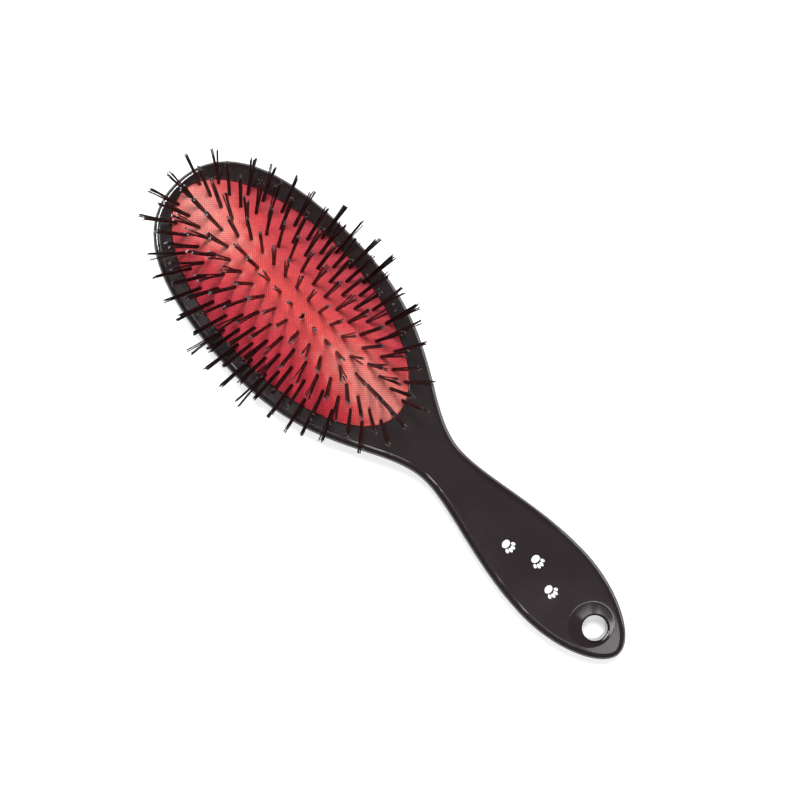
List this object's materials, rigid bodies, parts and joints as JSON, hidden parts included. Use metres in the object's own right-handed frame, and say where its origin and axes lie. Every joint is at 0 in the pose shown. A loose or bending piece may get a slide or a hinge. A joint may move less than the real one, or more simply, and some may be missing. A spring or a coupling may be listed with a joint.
{
  "type": "bristle brush",
  "caption": "Oval grooming brush with bristle tufts in a domed, fabric-faced rubber air cushion, in a one-piece glossy handle with a hanging hole.",
  "frame": {"origin": "on the flat back of the head, straight below the middle of the cushion", "axes": "+X along the handle towards the hanging hole, +Z out of the bristle side"},
  "size_m": [0.2325, 0.0768, 0.0448],
  "materials": {
    "moulded_handle": "polished",
    "cushion_rubber": "matte",
    "woven_facing": "fine plain weave with a sheen",
    "bristles": "nylon filament, satin"
  },
  "bodies": {
    "root": {"handle_body": "moulded_handle", "rubber_cushion": "cushion_rubber", "fabric_facing": "woven_facing", "tufts_ring_6_row_01": "bristles", "tufts_ring_6_row_04": "bristles", "tufts_ring_6_row_05": "bristles", "tufts_ring_6_row_06": "bristles", "tufts_ring_6_row_07": "bristles", "tufts_ring_6_row_08": "bristles", "tufts_ring_6_row_11": "bristles"},
    "cushion_ring_1": {"tufts_ring_1_row_05": "bristles", "tufts_ring_1_row_06": "bristles", "tufts_ring_1_row_07": "bristles"},
    "cushion_ring_2": {"tufts_ring_2_row_04": "bristles", "tufts_ring_2_row_05": "bristles", "tufts_ring_2_row_06": "bristles", "tufts_ring_2_row_07": "bristles", "tufts_ring_2_row_08": "bristles"},
    "cushion_ring_3": {"tufts_ring_3_row_03": "bristles", "tufts_ring_3_row_04": "bristles", "tufts_ring_3_row_05": "bristles", "tufts_ring_3_row_06": "bristles", "tufts_ring_3_row_07": "bristles", "tufts_ring_3_row_08": "bristles", "tufts_ring_3_row_09": "bristles"},
    "cushion_ring_4": {"tufts_ring_4_row_02": "bristles", "tufts_ring_4_row_03": "bristles", "tufts_ring_4_row_04": "bristles", "tufts_ring_4_row_05": "bristles", "tufts_ring_4_row_06": "bristles", "tufts_ring_4_row_07": "bristles", "tufts_ring_4_row_08": "bristles", "tufts_ring_4_row_09": "bristles", "tufts_ring_4_row_10": "bristles"},
    "cushion_ring_5": {"tufts_ring_5_row_01": "bristles", "tufts_ring_5_row_02": "bristles", "tufts_ring_5_row_03": "bristles", "tufts_ring_5_row_04": "bristles", "tufts_ring_5_row_05": "bristles", "tufts_ring_5_row_07": "bristles", "tufts_ring_5_row_08": "bristles", "tufts_ring_5_row_09": "bristles", "tufts_ring_5_row_10": "bristles", "tufts_ring_5_row_11": "bristles"}
  },
  "joints": [
    {"name": "cushion_press", "type": "slide", "parent": "root", "child": "cushion_ring_1", "axis": [0, 0, -1], "range_m": [0, 0.004], "stiffness_N_per_m": 1000, "deforming": ["rubber_cushion", "fabric_facing"]},
    {"name": "ring_2_sink", "type": "slide", "parent": "root", "child": "cushion_ring_2", "axis": [0, 0, -1], "range_m": [0, 0.0034]},
    {"name": "ring_3_sink", "type": "slide", "parent": "root", "child": "cushion_ring_3", "axis": [0, 0, -1], "range_m": [0, 0.00257]},
    {"name": "ring_4_sink", "type": "slide", "parent": "root", "child": "cushion_ring_4", "axis": [0, 0, -1], "range_m": [0, 0.00171]},
    {"name": "ring_5_sink", "type": "slide", "parent": "root", "child": "cushion_ring_5", "axis": [0, 0, -1], "range_m": [0, 0.00093]}
  ],
  "couplings": [
    {"joint": "ring_2_sink", "follows": "cushion_press", "ratio": 0.838},
    {"joint": "ring_3_sink", "follows": "cushion_press", "ratio": 0.63},
    {"joint": "ring_4_sink", "follows": "cushion_press", "ratio": 0.415},
    {"joint": "ring_5_sink", "follows": "cushion_press", "ratio": 0.22}
  ]
}
